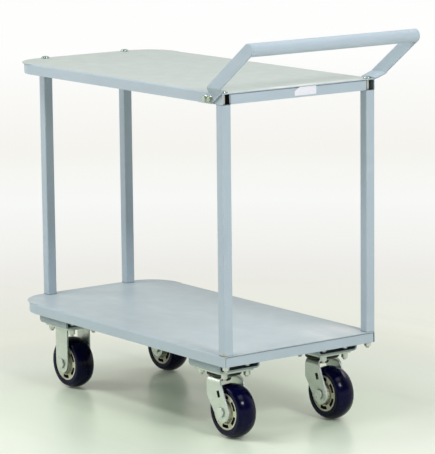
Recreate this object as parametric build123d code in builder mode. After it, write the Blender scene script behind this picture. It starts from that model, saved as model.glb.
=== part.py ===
"""Two-deck steel service cart on two rigid and two swivel casters, in millimetres.

+X points to the handle end (the rear), +Y to the right of a person at the handle, +Z up.
The origin is on the floor, under the middle of the whole cart.
"""
import os
from math import atan2, copysign, degrees, tan

from build123d import *

os.makedirs("parts", exist_ok=True)

# Clearances
slip = 0.05  # radial, between a shaft and what turns or threads on it
gap = 0.3  # between pieces that move past each other
hole_play = 0.25  # radial, round a bolt in a plate

# Decks
deck_length = 914.4
deck_width = 457.2
deck_spacing = 620.0  # from top face to top face
sheet = 2.5
flange_height = 27.0
flange_bend = 4.0  # outside radius
corner_radius = 92.0  # of the sheet, at the front corners
rim_radius = 104.0  # of the rim below it
rim_tail = 8.0  # straight end of the rim along each long side
apron_lip = 0.8  # sheet edge past the rear apron
apron_tab = 14.0

# Legs
leg_side = 25.4
leg_wall = 1.9
leg_round = 3.0
front_leg_inset = 91.6  # outer face of a front leg, in from the long side
plug_depth = 14.0

# Deck bolts and foot studs
deck_bolt = 7.94
deck_head_dia = 20.6
deck_head_height = 5.0
deck_head_round = 4.5
foot_stud = 9.53
foot_sleeve_dia = 16.0
foot_sleeve_drop = 0.5  # sleeve end below the flange edge
foot_flange_dia = 19.0
foot_flange = 2.0
foot_nut_across = 14.3
foot_nut_height = 9.0
foot_stud_end = 4.5  # past the nut
thread_chamfer = 1.0

# Handle
tube_dia = 31.75
tube_wall = 1.65
handle_back = 126.0  # tube axis behind the rear edge of the decks
handle_rise = 111.4  # tube axis above the upper deck
arm_thick = 4.76
arm_joggle = 15.9
joggle_start = 2.0  # above the upper deck
joggle_end = 15.0
joggle_bend = 3.0  # inside radius
arm_foot_in = 47.7  # middle of the arm's bolts, ahead of the rear edge
arm_bolt_drop = 16.0  # below the upper deck
arm_bolt_pitch = 19.05
arm_bolt = 7.94
arm_bolt_flange_dia = 17.3
arm_bolt_flange = 1.8
arm_bolt_across = 12.7
arm_bolt_head = 7.6
arm_nut_height = 6.8
arm_bolt_end = 2.0  # past the nut

# Label
label_left = 15.5  # from the middle of the apron
label_right = 49.5
label_height = 20.0
label_thick = 0.2
label_cut_across = 15.0
label_cut_down = 9.0

# Casters
wheel_dia = 131.6
wheel_width = 50.8
tread_bond_dia = 90.0  # where the tread meets the core
tread_shoulder_dia = 115.2
core_recess = 1.8  # core face in from the tread's side
slot_outer_dia = 80.0
slot_inner_dia = 64.0
slot_count = 6
slot_length = 25.0
slot_web = 8.0
core_pocket_dia = 59.0  # round the hub, in each face
core_pocket = 14.0
hub_dia = 40.0
bearing_dia = 30.0
bearing_end = 1.2  # from the fork leg
hub_end = 1.6  # from the fork leg
axle_dia = 12.7
sleeve_dia = 19.05
axle_across = 22.2
axle_head = 5.5
axle_nut = 11.0
axle_end = 3.0
crown_gap = 14.04  # from a wheel to the swivel fork above it
caster_side_in = 78.4  # middle of a caster, in from the long side
front_caster_in = 154.8  # from the front edge of the decks
rear_caster_in = 108.0  # kingpin, from the rear edge
caster_trail = 34.0
plate_length = 114.3
plate_width = 101.6
plate_thick = 5.0
plate_round = 12.0
plate_pitch_long = 92.1
plate_pitch_wide = 66.7
caster_bolt = 9.53
caster_bolt_across = 14.3
caster_bolt_head = 6.0
caster_nut_height = 12.0
caster_bolt_end = 4.5
fork_width = 71.6
fork_wall = 4.76
fork_end_dia = 50.0  # about the axle
fork_drop = 11.5  # swivel fork below its plate
rigid_bend = 9.0  # outside radius
rigid_leg = 53.0  # along the cart
rigid_leg_end = 6.0  # straight edges of a rigid fork end here above the axle
swivel_bend = 18.0
swivel_leg = 45.0  # along the cart, at the crown
swivel_brow = 36.0  # straight front edge of a swivel fork ends here above the axle
swivel_seat_dia = 62.0  # round the kingpin, on the crown
fork_slot_width = 9.0
fork_slot_height = 14.3
fork_slot_rise = 43.0  # above the axle
fork_slot_ahead = 10.5  # of the axle
fork_slot_lean = 20.0
kingpin_dia = 19.05
kingpin_head_dia = 27.0
kingpin_sink = 4.0
kingpin_across = 28.6
kingpin_nut = 11.0
kingpin_end = 1.0
race_dia = 84.0
race_neck_dia = 76.0
race_lip = 4.0

# Caster spacers
channel_length = 122.0
channel_width = 121.0
channel_height = 50.0
channel_wall = 4.76
channel_bend = 10.0

# Places along the cart
cart_length = deck_length + handle_back + tube_dia / 2
front_x = -cart_length / 2
rear_x = front_x + deck_length
handle_x = rear_x + handle_back
flange_x = front_x + rim_radius + rim_tail
front_caster_x = front_x + front_caster_in
kingpin_x = rear_x - rear_caster_in
rear_axle_x = kingpin_x + caster_trail
side_y = deck_width / 2
track_y = side_y - caster_side_in

# Heights
axle_z = wheel_dia / 2
fork_top = wheel_dia + crown_gap + fork_wall
plate_z = fork_top + fork_drop
caster_height = plate_z + plate_thick
web_z = caster_height + channel_wall
lower_top = caster_height + channel_height + sheet
upper_top = lower_top + deck_spacing
upper_edge = upper_top - flange_height
lower_edge = lower_top - flange_height
handle_z = upper_top + handle_rise

leg_points = {
    "front_left": (front_x + leg_side / 2, -(side_y - front_leg_inset - leg_side / 2)),
    "front_right": (front_x + leg_side / 2, side_y - front_leg_inset - leg_side / 2),
    "rear_left": (rear_x - leg_side / 2, -(side_y - leg_side / 2)),
    "rear_right": (rear_x - leg_side / 2, side_y - leg_side / 2),
}
caster_points = {
    "front_left": (front_caster_x, -track_y),
    "front_right": (front_caster_x, track_y),
    "rear_left": (kingpin_x, -track_y),
    "rear_right": (kingpin_x, track_y),
}
wheel_points = {
    "front_left": (front_caster_x, -track_y),
    "front_right": (front_caster_x, track_y),
    "rear_left": (rear_axle_x, -track_y),
    "rear_right": (rear_axle_x, track_y),
}
sides = {"left": -1, "right": 1}
arm_bolt_xs = [rear_x - arm_foot_in - arm_bolt_pitch / 2, rear_x - arm_foot_in + arm_bolt_pitch / 2]
arm_bolt_z = upper_top - arm_bolt_drop
caster_bolt_points = [
    (x + sx * plate_pitch_long / 2, y + sy * plate_pitch_wide / 2)
    for x, y in caster_points.values()
    for sx in (-1, 1)
    for sy in (-1, 1)
]


def save(name, piece):
    """Label a finished piece and write it."""
    piece.part.label = name
    export_step(piece.part, f"parts/{name}.step")


def u_section(width, open_end, closed_end, wall, bend):
    """Bent U: its web at closed_end, its legs running to open_end, along the sketch's Y."""
    inward = wall if closed_end < open_end else -wall
    half = width / 2
    with BuildSketch() as section:
        with BuildLine():
            FilletPolyline(
                (-half, open_end), (-half, closed_end), (half, closed_end), (half, open_end), radius=bend
            )
            FilletPolyline(
                (-half + wall, open_end),
                (-half + wall, closed_end + inward),
                (half - wall, closed_end + inward),
                (half - wall, open_end),
                radius=bend - wall,
            )
            Line((-half, open_end), (-half + wall, open_end))
            Line((half, open_end), (half - wall, open_end))
        make_face()
    return section.sketch


def front_plane(height):
    """Level plane whose sketch Y runs to the front of the cart."""
    return Plane(origin=(0, 0, height), x_dir=(0, 1, 0), z_dir=(0, 0, 1))


# Decks: the sheet with its two bent long flanges. Rounded front corners stand past the rim.
def make_deck(name, top, bolt_dia, arm_holes):
    flanges = u_section(deck_width, top - flange_height, top, sheet, flange_bend)
    with BuildPart() as deck:
        with BuildSketch(Plane.YZ.offset(flange_x)):
            add(flanges)
        extrude(amount=rear_x - flange_x)
        with BuildSketch(Plane.XY.offset(top - sheet)):
            with BuildLine():
                FilletPolyline(
                    (flange_x, -side_y),
                    (front_x, -side_y),
                    (front_x, side_y),
                    (flange_x, side_y),
                    radius=corner_radius,
                )
                Line((flange_x, -side_y), (flange_x, side_y))
            make_face()
        extrude(amount=sheet)
        with BuildSketch(Plane.XY.offset(top - sheet)):
            with Locations(*leg_points.values()):
                Circle(bolt_dia / 2 + hole_play)
        extrude(amount=sheet, mode=Mode.SUBTRACT)
        if arm_holes:
            with BuildSketch(Plane.XZ):
                with Locations(*[(x, arm_bolt_z) for x in arm_bolt_xs]):
                    Circle(arm_bolt / 2 + hole_play)
            extrude(amount=deck_width, both=True, mode=Mode.SUBTRACT)
    save(name, deck)


make_deck("upper_deck", upper_top, deck_bolt, True)
make_deck("lower_deck", lower_top, foot_stud, False)


# Front rims: a strip on edge under the sheet, rolled round both front corners.
def make_rim(name, top):
    strip = u_section(deck_width, -flange_x, -front_x, sheet, rim_radius)
    with BuildPart() as rim:
        with BuildSketch(front_plane(top - flange_height)):
            add(strip)
        extrude(amount=flange_height - sheet)
    save(name, rim)


make_rim("upper_front_rim", upper_top)
make_rim("lower_front_rim", lower_top)


# Rear aprons: an angle strip whose tab lies under the sheet.
def make_apron(name, top, half_length):
    face_x = rear_x - apron_lip
    under = top - sheet
    edge = top - flange_height
    with BuildPart() as apron:
        with BuildSketch(Plane.XZ):
            with BuildLine():
                FilletPolyline((face_x - apron_tab, under), (face_x, under), (face_x, edge), radius=flange_bend)
                FilletPolyline(
                    (face_x - apron_tab, under - sheet),
                    (face_x - sheet, under - sheet),
                    (face_x - sheet, edge),
                    radius=flange_bend - sheet,
                )
                Line((face_x - apron_tab, under), (face_x - apron_tab, under - sheet))
                Line((face_x, edge), (face_x - sheet, edge))
            make_face()
        extrude(amount=half_length, both=True)
        with BuildSketch(Plane.XY.offset(edge)):
            with Locations(*leg_points.values()):
                Circle(foot_sleeve_dia / 2 + hole_play)
        extrude(amount=flange_height, mode=Mode.SUBTRACT)
    save(name, apron)


make_apron("upper_rear_apron", upper_top, side_y - leg_side - slip)
make_apron("lower_rear_apron", lower_top, side_y - flange_bend)


# Legs: square tube from the lower deck to the edge of the upper flanges. The two inner walls
# of a rear leg run on up to the sheet, and its outer walls are cut away for the flange and
# for a spanner at the deck bolt.
leg_bore = leg_side - 2 * leg_wall
with BuildSketch() as leg_section:
    RectangleRounded(leg_side, leg_side, leg_round)
    RectangleRounded(leg_bore, leg_bore, leg_round - leg_wall, mode=Mode.SUBTRACT)
for place, (x, y) in leg_points.items():
    with BuildPart() as leg:
        with BuildSketch(Plane.XY.offset(lower_top)):
            with Locations((x, y)):
                add(leg_section.sketch)
        extrude(amount=upper_edge - lower_top)
        if place.startswith("rear"):
            with BuildSketch(Plane.XY.offset(upper_edge)):
                with Locations((x, y)):
                    add(leg_section.sketch)
                with Locations((x - leg_side / 2, y - copysign(leg_side / 2, y))):
                    Rectangle(
                        leg_side - leg_round,
                        leg_side - flange_bend,
                        align=(Align.MIN, Align.MIN if y > 0 else Align.MAX),
                        mode=Mode.INTERSECT,
                    )
            extrude(amount=flange_height - sheet)
    save(f"leg_{place}", leg)


# Threaded plugs, flush with the ends of the legs.
def make_plugs(name, bottom, thread):
    plug_side = leg_bore - 2 * slip
    with BuildPart() as plugs:
        with BuildSketch(Plane.XY.offset(bottom)):
            with Locations(*leg_points.values()):
                RectangleRounded(plug_side, plug_side, leg_round - leg_wall)
                Circle(thread / 2 + slip, mode=Mode.SUBTRACT)
        extrude(amount=plug_depth)
    save(name, plugs)


make_plugs("leg_top_plugs", upper_edge - plug_depth, deck_bolt)
make_plugs("leg_foot_plugs", lower_top, foot_stud)

# Round-headed bolts through the upper deck into the leg tops.
with BuildPart() as deck_bolts:
    with BuildSketch(Plane.XY.offset(upper_top)):
        with Locations(*leg_points.values()):
            Circle(deck_head_dia / 2)
    extrude(amount=deck_head_height)
    fillet(deck_bolts.edges().group_by(Axis.Z)[-1], deck_head_round)
    with BuildSketch(Plane.XY.offset(upper_edge - plug_depth)):
        with Locations(*leg_points.values()):
            Circle(deck_bolt / 2)
    extrude(amount=flange_height + plug_depth)
save("deck_bolts", deck_bolts)

# Studs, sleeves and flange nuts that hold the feet of the legs to the lower deck.
foot_sleeve_end = lower_edge - foot_sleeve_drop
with BuildPart() as foot_sleeves:
    with BuildSketch(Plane.XY.offset(foot_sleeve_end)):
        with Locations(*leg_points.values()):
            Circle(foot_sleeve_dia / 2)
            Circle(foot_stud / 2 + hole_play, mode=Mode.SUBTRACT)
    extrude(amount=lower_top - sheet - foot_sleeve_end)
save("foot_sleeves", foot_sleeves)

with BuildPart() as foot_nuts:
    with BuildSketch(Plane.XY.offset(foot_sleeve_end)):
        with Locations(*leg_points.values()):
            Circle(foot_flange_dia / 2)
            Circle(foot_stud / 2 + slip, mode=Mode.SUBTRACT)
    extrude(amount=-foot_flange)
    with BuildSketch(Plane.XY.offset(foot_sleeve_end)):
        with Locations(*leg_points.values()):
            RegularPolygon(foot_nut_across / 2, 6, major_radius=False)
            Circle(foot_stud / 2 + slip, mode=Mode.SUBTRACT)
    extrude(amount=-foot_nut_height)
save("foot_nuts", foot_nuts)

stud_end = foot_sleeve_end - foot_nut_height - foot_stud_end
with BuildPart() as foot_studs:
    with BuildSketch(Plane.XY.offset(stud_end)):
        with Locations(*leg_points.values()):
            Circle(foot_stud / 2)
    extrude(amount=lower_top + plug_depth - stud_end)
    chamfer(foot_studs.edges().group_by(Axis.Z)[0], thread_chamfer)
save("foot_studs", foot_studs)

# Handle bar: a tube between the inner faces of the arms.
arm_inner_y = side_y + arm_joggle
with BuildPart() as handle_bar:
    with BuildSketch(Plane.XZ):
        with Locations((handle_x, handle_z)):
            Circle(tube_dia / 2)
            Circle(tube_dia / 2 - tube_wall, mode=Mode.SUBTRACT)
    extrude(amount=arm_inner_y, both=True)
save("handle_bar", handle_bar)

# Handle arms: flat bar, bolted on the flange and bent outward above the deck.
foot_x = rear_x - arm_foot_in
arm_run = handle_x - foot_x
arm_climb = handle_z - arm_bolt_z
arm_slope = degrees(atan2(arm_climb, arm_run))
arm_reach = (arm_run**2 + arm_climb**2) ** 0.5
joggle_lean = atan2(arm_joggle, joggle_end - joggle_start)
joggle_shift = arm_thick * tan(joggle_lean / 2)
arm_top = handle_z + tube_dia
for place, side in sides.items():
    y_in, y_out = side * side_y, side * (side_y + arm_thick)
    y_in_top, y_out_top = side * arm_inner_y, side * (arm_inner_y + arm_thick)
    bend_low, bend_high = upper_top + joggle_start, upper_top + joggle_end
    with BuildPart() as arm:
        with BuildSketch(Plane.YZ.offset(foot_x - arm_reach)):
            with BuildLine():
                FilletPolyline(
                    (y_in, upper_edge),
                    (y_in, bend_low),
                    (y_in_top, bend_high),
                    (y_in_top, arm_top),
                    radius=(joggle_bend + arm_thick, joggle_bend),
                )
                FilletPolyline(
                    (y_out, upper_edge),
                    (y_out, bend_low - joggle_shift),
                    (y_out_top, bend_high - joggle_shift),
                    (y_out_top, arm_top),
                    radius=(joggle_bend, joggle_bend + arm_thick),
                )
                Line((y_in, upper_edge), (y_out, upper_edge))
                Line((y_in_top, arm_top), (y_out_top, arm_top))
            make_face()
        extrude(amount=3 * arm_reach)
        with BuildSketch(Plane.XZ):
            with Locations((handle_x, handle_z)):
                Circle(tube_dia / 2)
                Rectangle(2 * arm_reach, tube_dia, rotation=arm_slope, align=(Align.MAX, Align.CENTER))
        extrude(amount=deck_width, both=True, mode=Mode.INTERSECT)
        with BuildSketch(Plane.XZ):
            with Locations(*[(x, arm_bolt_z) for x in arm_bolt_xs]):
                Circle(arm_bolt / 2 + hole_play)
        extrude(amount=deck_width, both=True, mode=Mode.SUBTRACT)
    save(f"handle_arm_{place}", arm)


# Hex pieces along Y: both sides of the cart carry the same set.
def side_planes(distance):
    """Planes at a distance from the middle of the cart, each facing outward."""
    return [
        Plane(origin=(0, side * distance, 0), x_dir=(1, 0, 0), z_dir=(0, side, 0)) for side in sides.values()
    ]


def on_plane(plane, points):
    """Points (x, z) of the cart as sketch points of an upright plane."""
    return [(x, -z * plane.z_dir.Y) for x, z in points]


arm_bolt_places = [(x, arm_bolt_z) for x in arm_bolt_xs]
nut_face = side_y - sheet
bolt_inside = nut_face - arm_nut_height - arm_bolt_end
with BuildPart() as handle_bolts:
    for plane in side_planes(side_y + arm_thick):
        with BuildSketch(plane):
            with Locations(*on_plane(plane, arm_bolt_places)):
                Circle(arm_bolt_flange_dia / 2)
        extrude(amount=arm_bolt_flange)
        with BuildSketch(plane):
            with Locations(*on_plane(plane, arm_bolt_places)):
                RegularPolygon(arm_bolt_across / 2, 6, major_radius=False)
        extrude(amount=arm_bolt_head)
        with BuildSketch(plane):
            with Locations(*on_plane(plane, arm_bolt_places)):
                Circle(arm_bolt / 2)
        extrude(amount=bolt_inside - side_y - arm_thick)
save("handle_bolts", handle_bolts)

with BuildPart() as handle_nuts:
    for plane in side_planes(nut_face):
        with BuildSketch(plane):
            with Locations(*on_plane(plane, arm_bolt_places)):
                RegularPolygon(arm_bolt_across / 2, 6, major_radius=False)
                Circle(arm_bolt / 2 + slip, mode=Mode.SUBTRACT)
        extrude(amount=-arm_nut_height)
save("handle_nuts", handle_nuts)

# Blank sticker on the upper apron, one upper corner cut off.
label_top = upper_top - sheet - gap
with BuildPart() as label:
    with BuildSketch(Plane.YZ.offset(rear_x - apron_lip)):
        with BuildLine():
            Polyline(
                (-label_left, label_top - label_height),
                (label_right, label_top - label_height),
                (label_right, label_top),
                (-label_left + label_cut_across, label_top),
                (-label_left, label_top - label_cut_down),
                close=True,
            )
        make_face()
    extrude(amount=label_thick)
save("label", label)

# Caster spacers: a channel with its web on the caster plate and its sides up to the deck.
channel_section = u_section(channel_width, lower_top - sheet, caster_height, channel_wall, channel_bend)
for place, (x, y) in caster_points.items():
    with BuildPart() as channel:
        with BuildSketch(Plane.YZ.offset(x - channel_length / 2)):
            with Locations((y, 0)):
                add(channel_section)
        extrude(amount=channel_length)
        with BuildSketch(Plane.XY.offset(caster_height)):
            with Locations(*caster_bolt_points):
                Circle(caster_bolt / 2 + hole_play)
        extrude(amount=channel_wall, mode=Mode.SUBTRACT)
    save(f"caster_channel_{place}", channel)

caster_nut_end = plate_z - caster_nut_height
caster_bolt_low = caster_nut_end - caster_bolt_end
with BuildPart() as caster_bolts:
    with BuildSketch(Plane.XY.offset(web_z)):
        with Locations(*caster_bolt_points):
            RegularPolygon(caster_bolt_across / 2, 6, major_radius=False)
    extrude(amount=caster_bolt_head)
    with BuildSketch(Plane.XY.offset(caster_bolt_low)):
        with Locations(*caster_bolt_points):
            Circle(caster_bolt / 2)
    extrude(amount=web_z - caster_bolt_low)
    chamfer(caster_bolts.edges().group_by(Axis.Z)[0], thread_chamfer)
save("caster_bolts", caster_bolts)

with BuildPart() as caster_nuts:
    with BuildSketch(Plane.XY.offset(plate_z)):
        with Locations(*caster_bolt_points):
            RegularPolygon(caster_bolt_across / 2, 6, major_radius=False)
            Circle(caster_bolt / 2 + slip, mode=Mode.SUBTRACT)
    extrude(amount=-caster_nut_height)
save("caster_nuts", caster_nuts)

# Caster plates, bolted under the spacers. A swivel plate is countersunk for its kingpin.
kinds = {"front_left": "rigid_plate_left", "front_right": "rigid_plate_right"}
kinds |= {"rear_left": "swivel_plate_left", "rear_right": "swivel_plate_right"}
for place, name in kinds.items():
    with BuildPart() as plate:
        with BuildSketch(Plane.XY.offset(plate_z)):
            with Locations(caster_points[place]):
                RectangleRounded(plate_length, plate_width, plate_round)
            with Locations(*caster_bolt_points):
                Circle(caster_bolt / 2 + hole_play, mode=Mode.SUBTRACT)
        extrude(amount=plate_thick)
        if place.startswith("rear"):
            with Locations((*caster_points[place], caster_height)):
                CounterBoreHole(
                    kingpin_dia / 2 + slip, kingpin_head_dia / 2 + slip, kingpin_sink, depth=plate_thick
                )
    save(name, plate)

# Forks: one bent U each, its sides cut to a leg with a round end about the axle.
fork_half = fork_width / 2


def make_fork(name, crown_top, crown_x, axle_x, y, swivel):
    bend = swivel_bend if swivel else rigid_bend
    leg_width = swivel_leg if swivel else rigid_leg
    straight_width = fork_wall if swivel else rigid_leg
    straight_end = swivel_brow if swivel else rigid_leg_end
    crown = u_section(fork_width, axle_z - fork_end_dia / 2, crown_top, fork_wall, bend)
    with BuildPart() as fork:
        with BuildSketch(Plane.YZ.offset(crown_x - plate_length)):
            with Locations((y, 0)):
                add(crown)
        extrude(amount=2 * plate_length)
        with BuildSketch(Plane.XZ):
            with Locations((axle_x, axle_z)):
                Circle(fork_end_dia / 2)
            with Locations((crown_x - leg_width / 2, crown_top)):
                Rectangle(leg_width, bend, align=(Align.MIN, Align.MAX))
                Rectangle(straight_width, crown_top - axle_z - straight_end, align=(Align.MIN, Align.MAX))
            make_hull()
        extrude(amount=deck_width, both=True, mode=Mode.INTERSECT)
        if swivel:
            with BuildSketch(Plane.XY.offset(crown_top)):
                with Locations((kingpin_x, y)):
                    Circle(swivel_seat_dia / 2)
                    Rectangle(swivel_seat_dia, fork_width - 2 * bend, mode=Mode.INTERSECT)
            extrude(amount=-fork_wall)
            with Locations((kingpin_x, y, crown_top)):
                Hole(kingpin_dia / 2 + slip, depth=fork_wall)
        with BuildSketch(Plane.XZ):
            with Locations((axle_x, axle_z)):
                Circle(axle_dia / 2 + hole_play)
            if swivel:
                with Locations((axle_x - fork_slot_ahead, axle_z + fork_slot_rise)):
                    Rectangle(fork_slot_width, fork_slot_height, rotation=fork_slot_lean)
        extrude(amount=deck_width, both=True, mode=Mode.SUBTRACT)
    save(name, fork)


for place, side in sides.items():
    make_fork(f"rigid_fork_{place}", plate_z, front_caster_x, front_caster_x, side * track_y, False)
    make_fork(f"swivel_fork_{place}", fork_top, kingpin_x, rear_axle_x, side * track_y, True)

# Kingpins, their nuts and the races that the swivel forks turn under.
kingpin_points = [caster_points["rear_left"], caster_points["rear_right"]]
kingpin_nut_top = fork_top - fork_wall - gap
kingpin_low = kingpin_nut_top - kingpin_nut - kingpin_end
with BuildPart() as kingpins:
    with BuildSketch(Plane.XY.offset(kingpin_low)):
        with Locations(*kingpin_points):
            Circle(kingpin_dia / 2)
    extrude(amount=caster_height - gap - kingpin_low)
    with BuildSketch(Plane.XY.offset(caster_height - kingpin_sink)):
        with Locations(*kingpin_points):
            Circle(kingpin_head_dia / 2)
    extrude(amount=kingpin_sink - gap)
save("kingpins", kingpins)

with BuildPart() as kingpin_nuts:
    with BuildSketch(Plane.XY.offset(kingpin_nut_top)):
        with Locations(*kingpin_points):
            RegularPolygon(kingpin_across / 2, 6, major_radius=False)
            Circle(kingpin_dia / 2 + slip, mode=Mode.SUBTRACT)
    extrude(amount=-kingpin_nut)
save("kingpin_nuts", kingpin_nuts)

race_low = fork_top + gap
with BuildPart() as swivel_races:
    with BuildSketch(Plane.XY.offset(race_low)):
        with Locations(*kingpin_points):
            Circle(race_dia / 2)
            Circle(kingpin_dia / 2 + slip, mode=Mode.SUBTRACT)
    extrude(amount=race_lip)
    with BuildSketch(Plane.XY.offset(race_low)):
        with Locations(*kingpin_points):
            Circle(race_neck_dia / 2)
            Circle(kingpin_dia / 2 + slip, mode=Mode.SUBTRACT)
    extrude(amount=plate_z - race_low)
save("swivel_races", swivel_races)

# Axles: a bolt with its head on the left, a nut on the right, a sleeve between the fork legs.
sleeve_half = fork_half - fork_wall


def make_axles(kind, points, end):
    """One set of axle pieces on the wheels at the given (x, y) points."""
    with BuildPart() as bolts:
        for x, y in points:
            left = Plane(origin=(x, y - fork_half, axle_z), x_dir=(1, 0, 0), z_dir=(0, -1, 0))
            with BuildSketch(left):
                RegularPolygon(axle_across / 2, 6, major_radius=False)
            extrude(amount=axle_head)
            with BuildSketch(left):
                Circle(axle_dia / 2)
            extrude(amount=-(fork_width + axle_nut + axle_end))
    save(f"{kind}_axle_bolt{end}", bolts)
    with BuildPart() as nuts:
        for x, y in points:
            with BuildSketch(Plane(origin=(x, y + fork_half, axle_z), x_dir=(1, 0, 0), z_dir=(0, 1, 0))):
                RegularPolygon(axle_across / 2, 6, major_radius=False)
                Circle(axle_dia / 2 + slip, mode=Mode.SUBTRACT)
            extrude(amount=axle_nut)
    save(f"{kind}_axle_nut{end}", nuts)
    with BuildPart() as sleeves:
        for x, y in points:
            with BuildSketch(Plane(origin=(x, y, axle_z), x_dir=(1, 0, 0), z_dir=(0, 1, 0))):
                Circle(sleeve_dia / 2)
                Circle(axle_dia / 2 + hole_play, mode=Mode.SUBTRACT)
            extrude(amount=sleeve_half, both=True)
    save(f"{kind}_axle_sleeve{end}", sleeves)


make_axles("rigid", [wheel_points["front_left"], wheel_points["front_right"]], "s")
make_axles("swivel", [wheel_points["rear_left"]], "_left")
make_axles("swivel", [wheel_points["rear_right"]], "_right")

# Wheels: a slotted plastic core, a round-crowned tread bonded on it and a bearing on the sleeve.
core_half = wheel_width / 2 - core_recess
hub_half = sleeve_half - hub_end
bearing_half = sleeve_half - bearing_end
slot_middle = (slot_outer_dia + slot_inner_dia) / 4
slot_depth = (slot_outer_dia - slot_inner_dia) / 2
for place, (x, y) in wheel_points.items():
    axle_plane = Plane(origin=(x, y, axle_z), x_dir=(1, 0, 0), z_dir=(0, 1, 0))
    with BuildPart() as core:
        with BuildSketch(axle_plane):
            Circle(tread_bond_dia / 2)
            Circle(bearing_dia / 2 + slip, mode=Mode.SUBTRACT)
        extrude(amount=core_half, both=True)
        for facing in (-1, 1):
            with BuildSketch(axle_plane.offset(facing * slot_web / 2)):
                with PolarLocations(slot_middle, slot_count):
                    Rectangle(slot_depth, slot_length)
            extrude(amount=facing * core_half, mode=Mode.SUBTRACT)
            with BuildSketch(axle_plane.offset(facing * core_half)):
                Circle(core_pocket_dia / 2)
                Circle(hub_dia / 2, mode=Mode.SUBTRACT)
            extrude(amount=-facing * core_pocket, mode=Mode.SUBTRACT)
        with BuildSketch(axle_plane):
            Circle(hub_dia / 2)
            Circle(bearing_dia / 2 + slip, mode=Mode.SUBTRACT)
        extrude(amount=hub_half, both=True)
    save(f"wheel_core_{place}", core)

    with BuildPart() as tread:
        with BuildSketch(Plane(origin=(x, y, axle_z), x_dir=(0, 1, 0), z_dir=(-1, 0, 0))):
            with BuildLine():
                ThreePointArc(
                    (-wheel_width / 2, tread_shoulder_dia / 2),
                    (0, wheel_dia / 2),
                    (wheel_width / 2, tread_shoulder_dia / 2),
                )
                Polyline(
                    (-wheel_width / 2, tread_shoulder_dia / 2),
                    (-wheel_width / 2, tread_bond_dia / 2),
                    (wheel_width / 2, tread_bond_dia / 2),
                    (wheel_width / 2, tread_shoulder_dia / 2),
                )
            make_face()
        revolve(axis=Axis((x, y, axle_z), (0, 1, 0)))
    save(f"wheel_tread_{place}", tread)

    with BuildPart() as bearing:
        with BuildSketch(axle_plane):
            Circle(bearing_dia / 2)
            Circle(sleeve_dia / 2 + slip, mode=Mode.SUBTRACT)
        extrude(amount=bearing_half, both=True)
    save(f"wheel_bearing_{place}", bearing)
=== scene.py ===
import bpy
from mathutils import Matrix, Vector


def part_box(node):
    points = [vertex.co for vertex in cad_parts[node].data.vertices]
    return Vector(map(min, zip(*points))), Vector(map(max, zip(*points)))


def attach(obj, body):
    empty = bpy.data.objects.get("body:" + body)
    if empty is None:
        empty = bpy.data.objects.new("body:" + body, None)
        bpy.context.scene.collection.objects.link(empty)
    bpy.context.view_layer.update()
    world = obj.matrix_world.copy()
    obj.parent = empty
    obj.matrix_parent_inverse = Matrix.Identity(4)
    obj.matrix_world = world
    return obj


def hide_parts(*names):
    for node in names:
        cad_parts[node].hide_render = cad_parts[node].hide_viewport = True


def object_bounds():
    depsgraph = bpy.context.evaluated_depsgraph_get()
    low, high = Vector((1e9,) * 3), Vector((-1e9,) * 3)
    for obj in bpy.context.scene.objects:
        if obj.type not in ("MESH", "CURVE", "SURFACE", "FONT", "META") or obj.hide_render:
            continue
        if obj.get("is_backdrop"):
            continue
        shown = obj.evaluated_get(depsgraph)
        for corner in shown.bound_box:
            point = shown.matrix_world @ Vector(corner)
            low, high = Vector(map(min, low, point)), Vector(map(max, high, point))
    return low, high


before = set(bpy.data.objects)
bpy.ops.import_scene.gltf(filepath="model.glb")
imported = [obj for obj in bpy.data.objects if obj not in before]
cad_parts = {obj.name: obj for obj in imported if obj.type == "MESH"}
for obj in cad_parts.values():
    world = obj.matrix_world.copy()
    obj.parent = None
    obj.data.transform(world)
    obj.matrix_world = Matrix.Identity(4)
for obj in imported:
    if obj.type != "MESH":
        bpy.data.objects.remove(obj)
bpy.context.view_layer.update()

import math

import bmesh
import bpy
from mathutils import Matrix, Vector
from mathutils.geometry import convex_hull_2d

scene = bpy.context.scene

# Deck sheets: two trays of 2.5 mm steel, each long side folded down on a press brake and the front corners
# sheared round, powder coated a satin blue-grey, with a darker copy of the coat on their inner faces as
# painted shade.
# Both tops carry a warm painted reflection, the upper one strongly. Goods slid over the lower deck have
# rubbed a pale patch near its rear edge, and the upper deck's narrow pale strip along its rear edge is a
# painted glare.
sheet_wall, sheet_fold, fold_steps = 0.0025, 0.004, 6
deck_corner, deck_nose, corner_steps = 0.092, 0.112, 24
deck_rubs = (5.0, 26.0, 26.0)
same_point = 1e-6


def add_node(finish, kind, links=None, **settings):
    """A shader node with its settings, its inputs either linked or set."""
    node = finish.node_tree.nodes.new("ShaderNode" + kind)
    for name, value in settings.items():
        setattr(node, name, value)
    for name, source in (links or {}).items():
        if isinstance(source, bpy.types.NodeSocket):
            finish.node_tree.links.new(source, node.inputs[name])
        else:
            node.inputs[name].default_value = source
    return node


def ranged(finish, value, start, end, low=0.0, high=1.0, **settings):
    """A value drawn out from one range to another, and held at its ends."""
    limits = {"Value": value, "From Min": start, "From Max": end, "To Min": low, "To Max": high}
    return add_node(finish, "MapRange", limits, **settings).outputs["Result"]


def between(finish, value, low, high):
    """A 0 to 1 value drawn out between two amounts."""
    return ranged(finish, value, 0.0, 1.0, low, high)


def maths(finish, operation, *values, kind="Math"):
    """A sum worked out on shader values, or on vectors."""
    return add_node(finish, kind, dict(enumerate(values)), operation=operation).outputs["Value"]


def on_axis(finish, vector, axis):
    """A vector's share along one axis."""
    return add_node(finish, "SeparateXYZ", {0: vector}).outputs[axis]


def apart(finish, value, middle):
    """How far a value lies to either side of a middle."""
    return maths(finish, "ABSOLUTE", maths(finish, "SUBTRACT", value, middle))


def drawn_out(finish, place, scale, rotation=(0, 0, 0)):
    """Coordinates that draw a pattern out along its axes."""
    links = {"Vector": place, "Scale": scale, "Rotation": rotation}
    return add_node(finish, "Mapping", links).outputs["Vector"]


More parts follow.
